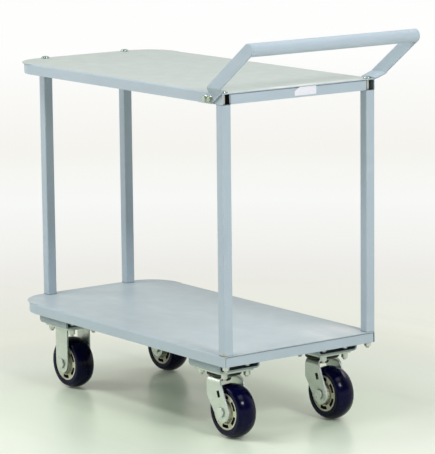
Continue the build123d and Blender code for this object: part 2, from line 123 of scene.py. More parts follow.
def cloudy(finish, place, scale, low=0.0, high=1.0, detail=3.0):
    """Patches of noise, drawn out between two levels to run from 0 to 1."""
    noise = add_node(finish, "TexNoise", {"Vector": place, "Scale": scale, "Detail": detail})
    return ranged(finish, noise.outputs["Fac"], low, high)


def blended(finish, factor, under, over):
    """One colour laid over another, each a socket or a red, green and blue."""
    links = {0: factor}
    for index, colour in ((6, under), (7, over)):
        links[index] = colour if isinstance(colour, bpy.types.NodeSocket) else (*colour, 1.0)
    return add_node(finish, "Mix", links, data_type="RGBA").outputs[2]


def relief(finish, height, depth, under=None):
    """A skin raised by a height, over another relief if one is given."""
    links = {"Height": height, "Distance": depth}
    if under is not None:
        links["Normal"] = under
    return add_node(finish, "Bump", links).outputs["Normal"]


def worn_and_highlit_edges(finish, radius, amount):
    """Where the surface turns a corner, for edges lightened by wear and painted highlight."""
    softened = add_node(finish, "Bevel", {"Radius": radius}, samples=6).outputs["Normal"]
    flat = add_node(finish, "NewGeometry").outputs["Normal"]
    lean = maths(finish, "DOT_PRODUCT", softened, flat, kind="VectorMath")
    return ranged(finish, lean, 0.99, 0.8, high=amount)


def shade_and_grime_in_crevices(finish, depth, amount):
    """Where other surfaces close by shut a place in, darkened there by painted shade and grime."""
    near = add_node(finish, "AmbientOcclusion", {"Distance": depth}, samples=8)
    return ranged(finish, near.outputs["AO"], 0.8, 0.3, high=amount)


def shader_inputs(finish):
    """The sockets of a finish's main shader."""
    return finish.node_tree.nodes["Principled BSDF"].inputs


def new_finish(name, settings=None):
    """A new finish with its settings, and the coordinates that its patterns lie on."""
    finish = bpy.data.materials.new(name)
    finish.use_nodes = True
    for socket, value in (settings or {}).items():
        shader_inputs(finish)[socket].default_value = value
    return finish, add_node(finish, "TexCoord").outputs["Object"]


def dress(finish, colour, rough, skin=None):
    """Gives a finish its colour, roughness and relief."""
    for name, source in (("Base Color", colour), ("Roughness", rough), ("Normal", skin)):
        if source is not None:
            finish.node_tree.links.new(source, shader_inputs(finish)[name])
    return finish


def recolour(finish, factor, over):
    """Lays a colour over what a finish already has."""
    socket = shader_inputs(finish)["Base Color"]
    colour = blended(finish, factor, socket.links[0].from_socket, over)
    finish.node_tree.links.new(colour, socket)


def powder_coat(name, tone, rub, patch_share, rub_stretch=(9.0, 9.0, 30.0)):
    """Satin powder coat: tone drift, rub marks, corners lightened by wear and painted highlight, seams
    darkened by painted shade and grime, and orange peel.
    """
    coat, place = new_finish(name, {"Specular IOR Level": 0.32})
    deeper = [0.96 * channel for channel in tone]
    seam_shade_and_grime = (0.07, 0.08, 0.08)
    colour = blended(coat, cloudy(coat, place, 5.0, 0.35, 0.65), deeper, tone)
    rubs = cloudy(coat, drawn_out(coat, place, rub_stretch), 1.0, 0.52, 0.74, 5.0)
    colour = blended(coat, between(coat, rubs, 0.0, patch_share), colour, rub)
    # Corners lightened: edge wear and painted highlight.
    colour = blended(coat, worn_and_highlit_edges(coat, 0.0012, 0.3), colour, rub)
    # Seams and corners darkened: painted shade with grime.
    colour = blended(coat, shade_and_grime_in_crevices(coat, 0.004, 0.75), colour, seam_shade_and_grime)
    rough = between(coat, cloudy(coat, place, 24.0, 0.3, 0.7, 4.0), 0.36, 0.5)
    peel = relief(coat, cloudy(coat, place, 620.0, detail=1.0), 0.00004)
    wave = relief(coat, cloudy(coat, place, 14.0, detail=1.0), 0.0006, peel)
    return dress(coat, colour, rough, wave)


def new_verts(made):
    """The vertices among the pieces that an operator made."""
    return [item for item in made["geom"] if isinstance(item, bmesh.types.BMVert)]


def add_piece(
    name, bm, body, finish, node, edge=0.0004, wall=0.0, facing=None, lining=None, sheared=None
):
    """Closes a mesh into a piece with softened edges, and ties it to the frame."""
    bmesh.ops.remove_doubles(bm, verts=bm.verts, dist=same_point)
    bmesh.ops.recalc_face_normals(bm, faces=bm.faces)
    if facing and sum(face.normal.dot(facing) * face.calc_area() for face in bm.faces) < 0:
        bmesh.ops.reverse_faces(bm, faces=bm.faces)
    mesh = bpy.data.meshes.new(name)
    bm.to_mesh(mesh)
    bm.free()
    mesh.shade_smooth()
    mesh.materials.append(finish)
    if lining or sheared:
        mesh.materials.append(lining or sheared)
    piece = bpy.data.objects.new(name, mesh)
    scene.collection.objects.link(piece)
    if wall:
        solid = piece.modifiers.new("wall", "SOLIDIFY")
        solid.thickness, solid.offset, solid.use_even_offset = wall, -1.0, True
        solid.material_offset, solid.material_offset_rim = int(bool(lining)), int(bool(sheared))
    if edge:
        soft = piece.modifiers.new("edges", "BEVEL")
        soft.width, soft.segments, soft.angle_limit = edge, 2, math.radians(38)
    piece.modifiers.new("shade", "WEIGHTED_NORMAL")
    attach(piece, body)
    if node:
        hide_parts(node)


def strip(points, run):
    """A strip with sharp folds: a section drawn out along a run."""
    bm = bmesh.new()
    section = [bm.verts.new(point) for point in points]
    edges = [bm.edges.new(pair) for pair in zip(section, section[1:])]
    made = bmesh.ops.extrude_edge_only(bm, edges=edges)
    bmesh.ops.translate(bm, verts=new_verts(made), vec=run)
    return bm, [edge for edge in bm.edges if len(edge.link_faces) == 2]


def round_off(bm, geom, affect, radius, steps):
    """Rounds off edges, or the corners of a face."""
    bmesh.ops.bevel(bm, geom=geom, affect=affect, offset=radius, segments=steps, profile=0.5, material=-1)


def bent(points, run, radius, steps):
    """A strip with all its folds rounded."""
    bm, folds = strip(points, run)
    round_off(bm, folds, "EDGES", radius, steps)
    return bm


def trough(x, low_y, high_y, open_z, closed_z):
    """Section of a sheet with both sides folded one way."""
    return [(x, low_y, open_z), (x, low_y, closed_z), (x, high_y, closed_z), (x, high_y, open_z)]


# Painted shade: a darker copy of the coat, laid on the inner faces of the decks, rims, aprons and caster
# channels.
painted_shade_lining = powder_coat("painted_shade_lining", (0.17, 0.2, 0.21), (0.26, 0.3, 0.31), 0.2)
for level, top_reflection, patch_middle, patch_half, patch_reach, patch_share in (
    ("upper", 0.55, 0.03, 0.17, 0.03, 0.75),
    ("lower", 0.15, 0.13, 0.1, 0.2, 0.4),
):
    low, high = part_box(f"{level}_deck")
    paint = powder_coat(f"{level}_deck_paint", (0.475, 0.567, 0.625), (0.74, 0.79, 0.79), 0.12, deck_rubs)
    place = add_node(paint, "TexCoord").outputs
    # Painted reflection: faces turned up are tinted warm, strongly on the upper deck and a little on the
    # lower.
    top = ranged(paint, on_axis(paint, place["Normal"], "Z"), 0.9, 1.0)
    recolour(paint, between(paint, top, 0.0, top_reflection), (0.49, 0.54, 0.45))
    # Pale patches near the rear edge: on the upper deck a narrow strip that is a painted glare, on the lower
    # deck a wider rubbed patch.
    lengthwise = on_axis(paint, place["Object"], "X")
    near_rear = ranged(paint, lengthwise, high.x - patch_reach, high.x - patch_reach / 2)
    aside = apart(paint, on_axis(paint, place["Object"], "Y"), patch_middle)
    glare_and_rubs = ranged(paint, aside, patch_half, patch_half / 2, high=patch_share)
    lanes = drawn_out(paint, place["Object"], (5.0, 17.0, 1.0))
    streaks = cloudy(paint, lanes, 1.0, 0.3, 0.62, 7.0)
    for factor in (near_rear, top, streaks):
        glare_and_rubs = maths(paint, "MULTIPLY", glare_and_rubs, factor)
    recolour(paint, glare_and_rubs, (0.86, 0.85, 0.83))
    fold_x = low.x + deck_nose
    section = trough(fold_x, low.y, high.y, low.z, high.z)
    bm = bent(section, (high.x - fold_x, 0, 0), sheet_fold, fold_steps)
    brow = max(
        (edge for edge in bm.edges if all(abs(v.co.x - fold_x) < same_point for v in edge.verts)),
        key=lambda edge: edge.calc_length(),
    )
    left, right = sorted(brow.verts, key=lambda v: v.co.y)
    nose = [
        bm.verts.new((x, y, high.z))
        for x, y in ((fold_x, low.y), (low.x, low.y), (low.x, high.y), (fold_x, high.y))
    ]
    bm.faces.new([left, *nose, right])
    round_off(bm, nose[1:3], "VERTICES", deck_corner, corner_steps)
    add_piece(
        f"{level}_deck_sheet", bm, "frame", paint, f"{level}_deck",
        wall=sheet_wall, facing=(0, 0, 1), lining=painted_shade_lining,
    )

# Front rims: a strip of the same sheet stood on edge under each deck and rolled round both
# front corners on a slightly larger radius, so the deck's own corners stand past it. Welded
# up under the sheet and powder coated with it.
rim_corner = 0.104
frame_paint = powder_coat("frame_paint", (0.468, 0.5625, 0.63), (0.7, 0.77, 0.8), 0.1)
for level in ("upper", "lower"):
    low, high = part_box(f"{level}_front_rim")
    section = [(high.x, low.y), (low.x, low.y), (low.x, high.y), (high.x, high.y)]
    upright = (0, 0, high.z - low.z)
    bm = bent([(x, y, low.z) for x, y in section], upright, rim_corner, corner_steps)
    # The rim's inner face takes the darker lining as painted shade.
    add_piece(
        f"{level}_rim_strip", bm, "frame", frame_paint, f"{level}_front_rim",
        wall=sheet_wall, lining=painted_shade_lining,
    )

# Rear aprons: an angle of the same sheet across each deck's rear, its short tab welded under
# the deck. The lower one reaches both corners, the upper one stops at the legs and leaves a
# window at each end for a spanner at the deck bolt.
for level in ("upper", "lower"):
    low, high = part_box(f"{level}_rear_apron")
    section = [(low.x, low.y, high.z), (high.x, low.y, high.z), (high.x, low.y, low.z)]
    bm = bent(section, (0, high.y - low.y, 0), sheet_fold, fold_steps)
    # The apron's inner face takes the darker lining as painted shade.
    add_piece(
        f"{level}_apron_angle", bm, "frame", frame_paint, f"{level}_rear_apron",
        wall=sheet_wall, facing=(1, 0, 1), lining=painted_shade_lining,
    )

# Legs: four lengths of 25.4 mm square tube, sawn square and coated outside, dark mill scale
# within. Each stands between the decks on a threaded plug pressed into its end. Two walls of
# each rear leg run on up to the sheet, and a little rust has crept from under one foot.
leg_wall, leg_round, leg_steps = 0.0019, 0.003, 6
cart_corners = ("front_left", "front_right", "rear_left", "rear_right")


def crust(name, scale, under, over, rough, specular=0.5):
    """A dull dark crust with paler flakes."""
    finish, place = new_finish(name, {"Specular IOR Level": specular})
    flakes = cloudy(finish, place, scale, 0.4, 0.7, 4.0)
    return dress(finish, blended(finish, flakes, under, over), between(finish, flakes, *rough))


def rounded_plate(low, high, corner, steps):
    """A face over the floor of a box, with its four corners rounded."""
    bm = bmesh.new()
    corners = [
        bm.verts.new((x, y, low.z))
        for x, y in ((low.x, low.y), (high.x, low.y), (high.x, high.y), (low.x, high.y))
    ]
    bm.faces.new(corners)
    round_off(bm, corners, "VERTICES", corner, steps)
    return bm


def raise_faces(bm, faces, run):
    """Draws faces out along a run, and returns the vertices that moved."""
    moved = new_verts(bmesh.ops.extrude_face_region(bm, geom=faces))
    bmesh.ops.translate(bm, verts=moved, vec=run)
    return moved


def cut(bm, point, out, trim=False, geom=None):
    """Cuts a mesh at a plane, trims its outside if asked, and returns the cut's edges."""
    geom = geom or bm.verts[:] + bm.edges[:] + bm.faces[:]
    made = bmesh.ops.bisect_plane(bm, geom=geom, plane_co=point, plane_no=out, clear_outer=trim)
    return [item for item in made["geom_cut"] if isinstance(item, bmesh.types.BMEdge)]


leg_paint = frame_paint.copy()
leg_paint.name = "leg_paint"
low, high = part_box("leg_rear_left")
flange_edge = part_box("upper_deck")[0].z
place = add_node(leg_paint, "TexCoord").outputs["Object"]
rust_spot = (high.x - leg_round, low.y, low.z)
from_rust = maths(leg_paint, "DISTANCE", place, rust_spot, kind="VectorMath")
recolour(leg_paint, ranged(leg_paint, from_rust, 0.009, 0.003, high=0.8), (0.52, 0.42, 0.2))
# Painted shade: a thin dark line round each leg at its foot and at the height of the upper flange's lower
# edge.
for seam in (low.z, flange_edge):
    from_seam = apart(leg_paint, on_axis(leg_paint, place, "Z"), seam)
    recolour(leg_paint, ranged(leg_paint, from_seam, 0.0018, 0.0007, high=0.7), (0.08, 0.1, 0.1))
# Near-black crust: mill scale inside the tubes, and painted shade on the top plugs.
dark_scale_and_shade = crust("dark_scale_and_shade", 180.0, (0.012, 0.014, 0.013), (0.03, 0.03, 0.026), (0.5, 0.7))
for leg in cart_corners:
    low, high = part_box(f"leg_{leg}")
    middle = (low + high) / 2
    half = (high.x - low.x) / 2
    bm = rounded_plate(low, high, leg_round, leg_steps)
    bore = bm.faces[:]
    bmesh.ops.inset_region(bm, faces=bore, thickness=leg_wall, use_even_offset=True, use_boundary=True)
    bmesh.ops.delete(bm, geom=bore, context="FACES_ONLY")
    raise_faces(bm, bm.faces[:], (0, 0, flange_edge - low.z))
    if high.z > flange_edge:
        inward = -math.copysign(1.0, middle.y)
        kept_x, kept_y = high.x - leg_round, middle.y - inward * (half - sheet_fold)
        cut(bm, (kept_x, 0, 0), (1, 0, 0))
        cut(bm, (0, kept_y, 0), (0, 1, 0))
        walls = []
        for face in bm.faces:
            centre = face.calc_center_median()
            level = all(abs(v.co.z - flange_edge) < same_point for v in face.verts)
            if level and centre.x < kept_x and (centre.y - kept_y) * inward > 0:
                walls.append(face)
        raise_faces(bm, walls, (0, 0, high.z - flange_edge))
        bmesh.ops.delete(bm, geom=walls, context="FACES_KEEP_BOUNDARY")
    for face in bm.faces:
        offset = face.calc_center_median() - middle
        upright = len({round(v.co.z, 6) for v in face.verts}) > 1
        if upright and max(abs(offset.x), abs(offset.y)) < half - 0.75 * leg_wall:
            face.material_index = 1
    add_piece(
        f"{leg}_leg_tube", bm, "frame", leg_paint, f"leg_{leg}", edge=0.0003, lining=dark_scale_and_shade
    )

# Leg plugs: short blocks of square bar, drilled and tapped, pressed flush into both ends of each leg. They
# keep the CAD shape, and the foot ones their zinc plate. The top ones, up in the open leg ends, take the
# tube's near-black inside finish as painted shade.


def zinc_plate(name, tone, tint, rough, speck, shade_and_grime_reach=0.006, metallic=0.75):
    """Zinc plating: a bright metal skin with chromate clouds, fine scratches, dull specks, edges lightened
    by wear and painted highlight, and crevices darkened by painted shade and grime.
    """
    plate, place = new_finish(name, {"Metallic": metallic})
    dull = [0.55 * channel for channel in tone]
    pale = [min(1.0, 1.25 * channel) for channel in tone]
    grime_and_shade = (0.03, 0.035, 0.03)
    gloss_swing = 0.07
    colour = blended(plate, cloudy(plate, place, 38.0, 0.35, 0.65), tone, tint)
    specks = between(plate, cloudy(plate, place, speck, 0.62, 0.8, 2.0), 0.0, 0.5)
    colour = blended(plate, specks, colour, dull)
    # Edges lightened: wear and painted highlight.
    colour = blended(plate, worn_and_highlit_edges(plate, 0.0009, 0.35), colour, pale)
    # Crevices darkened: painted shade with grime.
    colour = blended(plate, shade_and_grime_in_crevices(plate, shade_and_grime_reach, 0.75), colour, grime_and_shade)
    gloss = between(plate, cloudy(plate, place, 90.0, 0.3, 0.7), rough - gloss_swing, rough + gloss_swing)
    scratches = cloudy(plate, drawn_out(plate, place, (300.0, 300.0, 2600.0)), 1.0, detail=2.0)
    return dress(plate, colour, gloss, relief(plate, scratches, 0.00003))


bright_zinc = zinc_plate("bright_zinc", (0.6, 0.66, 0.59), (0.68, 0.73, 0.68), 0.34, 420.0)
for name, finish in (("leg_top_plugs", dark_scale_and_shade), ("leg_foot_plugs", bright_zinc)):
    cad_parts[name].data.materials.clear()
    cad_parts[name].data.materials.append(finish)

# Deck bolts: four plated bolts with low round heads, dropped through the upper deck into the plugs of the
# legs and drawn down tight. The heads take a darker copy of the plating as a painted dark reflection, and
# the shanks the bright plating.
head_dia, head_height, head_round, shank_dia = 0.0206, 0.005, 0.0045, 0.00794
# Painted dark reflection: a darker copy of the plating.
dark_reflection_zinc = zinc_plate("dark_reflection_zinc", (0.27, 0.35, 0.33), (0.4, 0.48, 0.45), 0.22, 420.0)
shader_inputs(dark_reflection_zinc)["Specular Tint"].default_value = (0.5, 0.62, 0.6, 1.0)


def turn(bm, profile, steps=40):
    """Turns a profile of (radius, height) points about Z, as on a lathe."""
    points = [bm.verts.new((radius, 0, height)) for radius, height in profile]
    edges = [bm.edges.new(pair) for pair in zip(points, points[1:])]
    bmesh.ops.spin(
        bm, geom=points + edges, axis=(0, 0, 1), cent=(0, 0, 0), angle=2 * math.pi, steps=steps,
        use_merge=True,
    )
    bmesh.ops.remove_doubles(bm, verts=bm.verts, dist=same_point)


def repeat(bm, places):
    """Sets copies of what is modelled at the origin in all its places."""
    first = bm.verts[:] + bm.edges[:] + bm.faces[:]
    base = bm.verts[:]
    for place in places[1:]:
        copy = bmesh.ops.duplicate(bm, geom=first)
        bmesh.ops.transform(bm, matrix=place, verts=new_verts(copy))
    bmesh.ops.transform(bm, matrix=places[0], verts=base)


def turned(profile, places, steps=40):
    """A turned piece, set in all its places."""
    bm = bmesh.new()
    turn(bm, profile, steps)
    repeat(bm, places)
    return bm


def rounding(centre_radius, centre_height, radius, start, end, steps=6):
    """Profile points round an arc, its angles in degrees from straight out."""
    angles = [math.radians(start + (end - start) * step / steps) for step in range(steps + 1)]
    return [
        (centre_radius + radius * math.cos(angle), centre_height + radius * math.sin(angle))
        for angle in angles
    ]


def middle_of(node):
    """The middle of a CAD node's box."""
    low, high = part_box(node)
    return (low + high) / 2


def standing(places, height):
    """What sets a piece upright at each (x, y) place."""
    return [Matrix.Translation((x, y, height)) for x, y in places]


leg_places = [middle_of(f"leg_{leg}").xy for leg in cart_corners]
low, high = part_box("deck_bolts")
seat = high.z - head_height
bm = turned(
    [(0, low.z - seat), (shank_dia / 2, low.z - seat), (shank_dia / 2, 0), (head_dia / 2, 0)]
    + rounding(head_dia / 2 - head_round, head_height - head_round, head_round, 0, 90)
    + [(0, head_height)],
    standing(leg_places, seat),
)
for face in bm.faces:
    if face.calc_center_median().z < seat - same_point:
        face.material_index = 1
add_piece("deck_bolt_set", bm, "frame", dark_reflection_zinc, "deck_bolts", edge=0.0002, lining=bright_zinc)

# Foot fixings: a stud from each foot plug goes down through the lower deck and a plated
# spacer sleeve, and a flange nut holds it from below. Threads are rolled, plating bright.
stud_dia, stud_pitch, sleeve_dia, sleeve_play = 0.00953, 0.0016, 0.016, 0.0002
nut_across, nut_sink, flange_dia, flange_height, flange_rim = 0.0143, 0.0004, 0.019, 0.002, 0.0009


def thread(radius, low, high, pitch):
    """Profile of a rolled thread, its lower end chamfered."""
    depth, crest, root, run_out = 0.6 * pitch, 0.35 * pitch, 0.85 * pitch, 0.2 * pitch
    turns = int((high - low - depth) / pitch)
    points = [(0, low), (radius - depth, low)]
    for count in range(turns):
        height = low + depth + pitch * count
        points += [(radius, height + crest), (radius - depth, height + root)]
    return points + [(radius, low + depth + pitch * turns + run_out), (radius, high)]


def hoop(inner, outer, low, high):
    """Profile of a plain ring."""
    return [(inner, low), (outer, low), (outer, high), (inner, high), (inner, low)]


def new_rim(made):
    """The far edges of a wall that an operator drew out."""
    far = set(new_verts(made))
    return [
        item for item in made["geom"] if isinstance(item, bmesh.types.BMEdge) and far.issuperset(item.verts)
    ]


def hex_bar(across, low, high, bore=0.0):
    """A hexagon with both ends turned off to a chamfer, bored or solid."""
    bm = bmesh.new()
    half = across / 2
    face_radius, chamfer_slope = 0.95 * half, 0.577

    def lay(verts, end, chamfer):
        """Sets a ring of vertices at an end."""
        for v in verts:
            angle = math.atan2(v.co.y, v.co.x)
            reach, height = face_radius, end
            if chamfer:
                reach = half / math.cos(angle % (math.pi / 3) - math.pi / 6)
                height -= math.copysign((reach - face_radius) * chamfer_slope, end - (low + high) / 2)
            v.co = (reach * math.cos(angle), reach * math.sin(angle), height)

    lay(bmesh.ops.create_circle(bm, segments=36, radius=half)["verts"], low, False)
    foot = edges = bm.edges[:]
    for end, chamfer in ((low, True), (high, True), (high, False)):
        made = bmesh.ops.extrude_edge_only(bm, edges=edges)
        lay(new_verts(made), end, chamfer)
        edges = new_rim(made)
    if not bore:
        bmesh.ops.contextual_create(bm, geom=foot)
        bmesh.ops.contextual_create(bm, geom=edges)
        return bm
    for end in (high, low):
        made = bmesh.ops.extrude_edge_only(bm, edges=edges)
        for v in new_verts(made):
            v.co = (*(v.co.xy.normalized() * bore), end)
        edges = new_rim(made)
    bmesh.ops.bridge_loops(bm, edges=edges + foot)
    return bm


def hex_pieces(across, low, high, places, bore=0.0, body=None, steps=40):
    """Nuts or bolts: a hexagon and what is turned with it, in all its places."""
    bm = hex_bar(across, low, high, bore)
    if body:
        turn(bm, body, steps)
    repeat(bm, places)
    return bm


low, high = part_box("foot_studs")
length = high.z - low.z
stud = thread(stud_dia / 2, 0, length, stud_pitch) + [(0, length)]
bm = turned(stud, standing(leg_places, low.z), steps=28)
add_piece("foot_stud_set", bm, "frame", bright_zinc, "foot_studs", edge=0)

low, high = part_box("foot_sleeves")
sleeve = hoop(stud_dia / 2 + sleeve_play, sleeve_dia / 2, 0, high.z - low.z)
bm = turned(sleeve, standing(leg_places, low.z))
add_piece("foot_sleeve_set", bm, "frame", bright_zinc, "foot_sleeves", edge=0.0005)

low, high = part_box("foot_nuts")
flange = [(stud_dia / 2, 0), (flange_dia / 2, 0), (flange_dia / 2, -flange_rim)]
flange += [(nut_across / 2, -flange_height), (stud_dia / 2, -flange_height), (stud_dia / 2, 0)]
bm = hex_pieces(
    nut_across, low.z - high.z, -nut_sink, standing(leg_places, high.z), bore=stud_dia / 2, body=flange
)
add_piece("foot_nut_set", bm, "frame", bright_zinc, "foot_nuts", edge=0.0003)

# Handle bar: one length of round tube across the cart, welded end-on to the insides of the
# two arms and coated with them.
tube_wall = 0.00165
across_cart = Matrix.Rotation(-math.pi / 2, 4, "X")
low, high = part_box("handle_bar")
tube = (high.z - low.z) / 2
handle = middle_of("handle_bar")
arm_inside = high.y
tube_profile = hoop(tube - tube_wall, tube, -arm_inside, arm_inside)
bm = turned(tube_profile, [Matrix.Translation(handle) @ across_cart], steps=64)
add_piece("handle_tube", bm, "frame", frame_paint, "handle_bar", edge=0.0003)

# Handle arms: flat bar as wide as the tube, joggled outward just above the deck, sheared
# level at the foot and rounded about the tube. Two flange bolts hold each to the deck side.
arm_thick = 0.00476
arm_spare = 0.1
joggle_low, joggle_high, joggle_bends = 0.002, 0.015, (0.00776, 0.003)
end_cuts = 32
deck_low, deck_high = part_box("upper_deck")
arm_foot = middle_of("handle_bolts")
climb = math.atan2(handle.z - arm_foot.z, handle.x - arm_foot.x)
joggle_lean = math.atan2(arm_inside - deck_high.y, joggle_high - joggle_low)
for place, side in (("left", -1), ("right", 1)):
    section = [
        (side * deck_high.y, deck_low.z),
        (side * deck_high.y, deck_high.z + joggle_low),
        (side * arm_inside, deck_high.z + joggle_high),
        (side * arm_inside, handle.z + arm_spare),
    ]
    bm, bends = strip(
        [(arm_foot.x - arm_spare, y, z) for y, z in section], (handle.x - arm_foot.x + 2 * arm_spare, 0, 0)
    )
    bends.sort(key=lambda edge: edge.verts[0].co.z)
    for bend, radius in zip(bends, joggle_bends):
        round_off(bm, [bend], "EDGES", radius * math.tan(joggle_lean / 2), fold_steps)
    for step in range(end_cuts + 1):
        angle = climb - math.pi / 2 + math.pi * step / end_cuts
        out = Vector((math.cos(angle), 0, math.sin(angle)))
        cut(bm, handle + tube * out, out, trim=True)
    add_piece(
        f"handle_arm_bar_{place}", bm, "frame", frame_paint, f"handle_arm_{place}",
        edge=0.0007, wall=arm_thick, facing=(0, -side, 0),
    )

# Handle bolts and nuts: two hex flange bolts a side in olive-yellow chromate, put in from
# outside with plain hex nuts behind the flange.
bolt_dia, bolt_pitch, bolt_end = 0.00794, 0.0014, 0.002
bolt_across, bolt_head, bolt_sink = 0.0127, 0.0076, 0.0005
bolt_flange_dia, bolt_flange, bolt_flange_rim = 0.0173, 0.0018, 0.0008
nut_height = 0.0068
yellow_zinc = zinc_plate("yellow_zinc", (0.4, 0.47, 0.37), (0.54, 0.62, 0.5), 0.26, 500.0)
low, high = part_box("handle_bolts")
bolt_face = deck_high.y + arm_thick
nut_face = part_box("handle_nuts")[1].y
bolt_places, nut_places = [], []
for side in (-1, 1):
    outward = Matrix.Rotation(-side * math.pi / 2, 4, "X")
    for x in (low.x + bolt_flange_dia / 2, high.x - bolt_flange_dia / 2):
        bolt_places.append(Matrix.Translation((x, side * bolt_face, arm_foot.z)) @ outward)
        nut_places.append(Matrix.Translation((x, side * nut_face, arm_foot.z)) @ outward)
body = thread(bolt_dia / 2, nut_face - nut_height - bolt_end - bolt_face, 0, bolt_pitch)
body += [(bolt_flange_dia / 2, 0), (bolt_flange_dia / 2, bolt_flange_rim)]
body += [(bolt_across / 2, bolt_flange), (0, bolt_flange)]
bm = hex_pieces(bolt_across, bolt_sink, bolt_head, bolt_places, body=body, steps=32)
add_piece("handle_bolt_set", bm, "frame", yellow_zinc, "handle_bolts", edge=0.0002)
bm = hex_pieces(bolt_across, -nut_height, 0, nut_places, bore=bolt_dia / 2)
add_piece("handle_nut_set", bm, "frame", yellow_zinc, "handle_nuts", edge=0.0002)

# Label: a blank white film sticker on the upper apron with one corner cut away, pressed on by
# hand after coating.
cut_across, cut_down, film_corner, film_steps = 0.015, 0.009, 0.0012, 4
film, place = new_finish("label_film", {"Specular IOR Level": 0.35})
soil = cloudy(film, place, 60.0, 0.4, 0.75, 4.0)
soiled = blended(film, soil, (0.86, 0.87, 0.93), (0.77, 0.79, 0.86))
ripple = relief(film, cloudy(film, place, 150.0, detail=1.0), 0.0001)
dress(film, soiled, between(film, soil, 0.25, 0.42), ripple)
low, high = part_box("label")
outline = [(low.y, low.z), (high.y, low.z), (high.y, high.z)]
outline += [(low.y + cut_across, high.z), (low.y, high.z - cut_down)]
bm = bmesh.new()
corners = [bm.verts.new((low.x, y, z)) for y, z in outline]
bm.faces.new(corners)
round_off(bm, corners[:3], "VERTICES", film_corner, film_steps)
raise_faces(bm, bm.faces[:], (high.x - low.x, 0, 0))
add_piece("blank_label", bm, "frame", film, "label", edge=0.00005)

# Caster spacers: four short lengths of bent U-channel, open end up and ends open fore and aft, welded under
# the lower deck and coated in a darker copy of its paint as painted shade, darker again on the inner faces.
# The caster plates bolt to their webs.
channel_wall, channel_fold, channel_steps = 0.00476, 0.01, 7
# Painted shade: a darker copy of the frame's coat.
shaded_channel_paint = powder_coat("shaded_channel_paint", (0.39, 0.475, 0.51), (0.56, 0.62, 0.62), 0.15)
for caster in cart_corners:
    low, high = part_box(f"caster_channel_{caster}")
    section = trough(low.x, low.y, high.y, high.z, low.z)
    bm = bent(section, (high.x - low.x, 0, 0), channel_fold, channel_steps)
    add_piece(
        f"spacer_channel_{caster}", bm, "frame", shaded_channel_paint, f"caster_channel_{caster}",
        edge=0.0005, wall=channel_wall, lining=painted_shade_lining,
    )

# Caster bolts and nuts: sixteen plated hex bolts, heads inside the channels and nuts under
# the caster plates, with a little thread standing out of each nut.
caster_bolt, caster_pitch, caster_across, caster_head, caster_nut = 0.00953, 0.0016, 0.0143, 0.006, 0.012
holes_long, holes_wide = 0.0921, 0.0667
shank_sunk = 0.001
plates = {
    "front_left": "rigid_plate_left",
    "front_right": "rigid_plate_right",
    "rear_left": "swivel_plate_left",
    "rear_right": "swivel_plate_right",
}
holes = []
for plate in plates.values():
    middle = middle_of(plate)
    for x in (middle.x - holes_long / 2, middle.x + holes_long / 2):
        for y in (middle.y - holes_wide / 2, middle.y + holes_wide / 2):
            holes.append((x, y))
low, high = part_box("caster_bolts")
seat = high.z - caster_head
body = thread(caster_bolt / 2, low.z - seat, shank_sunk, caster_pitch) + [(0, shank_sunk)]
bm = hex_pieces(caster_across, 0, caster_head, standing(holes, seat), body=body, steps=28)
add_piece("caster_bolt_set", bm, "frame", bright_zinc, "caster_bolts", edge=0)
low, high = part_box("caster_nuts")
bm = hex_pieces(caster_across, -caster_nut, 0, standing(holes, high.z), bore=caster_bolt / 2)
add_piece("caster_nut_set", bm, "frame", bright_zinc, "caster_nuts", edge=0.0003)

# Caster plates: pressed 5 mm plates with round corners, zinc plated after pressing. The rear
# ones are countersunk for the kingpin that their forks swing on.
plate_corner, plate_steps = 0.012, 10
pressed_zinc = zinc_plate("pressed_zinc", (0.58, 0.66, 0.58), (0.64, 0.7, 0.64), 0.42, 260.0, 0.009)
for caster, plate in plates.items():
    low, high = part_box(plate)
    bm = rounded_plate(low, high, plate_corner, plate_steps)
    raise_faces(bm, bm.faces[:], (0, 0, high.z - low.z))
    add_piece(f"caster_plate_{caster}", bm, "frame", pressed_zinc, plate, edge=0.0008)

# Caster forks: one blank of 4.76 mm steel each, bent to a U over a form and zinc plated. The
# legs taper to a round end about the axle. The rear forks lean back from the kingpin, have a
# small punched slot in each leg and a round seat for the swivel race.
fork_wall, fork_half, fork_end, fork_steps, blank_half = 0.00476, 0.0358, 0.025, 9, 0.11
rigid_fold, rigid_leg, rigid_straight = 0.009, 0.053, 0.006
swivel_fold, swivel_leg, swivel_straight = 0.018, 0.045, 0.036
slot_half, slot_place, slot_lean = (0.0045, 0.00715), Vector((-0.0105, 0, 0.043)), math.radians(20)
slot_along = Vector((math.cos(slot_lean), 0, math.sin(slot_lean)))
slot_up = Vector((-slot_along.z, 0, slot_along.x))
through_cart = 1000.0
seat_radius, seat_bore, seat_proud, seat_edge, seat_taper = 0.031, 0.0098, 0.0001, 0.0005, (0.003, 0.002)
slotted_zinc = pressed_zinc.copy()
slotted_zinc.name = "slotted_zinc"
# Painted highlight: a paler, less metallic copy of the plating for the swivel forks' cut edges.
highlit_edge_zinc = zinc_plate(
    "highlit_edge_zinc", (0.78, 0.86, 0.87), (0.88, 0.95, 0.96), 0.4, 260.0, 0.009, metallic=0.3
)
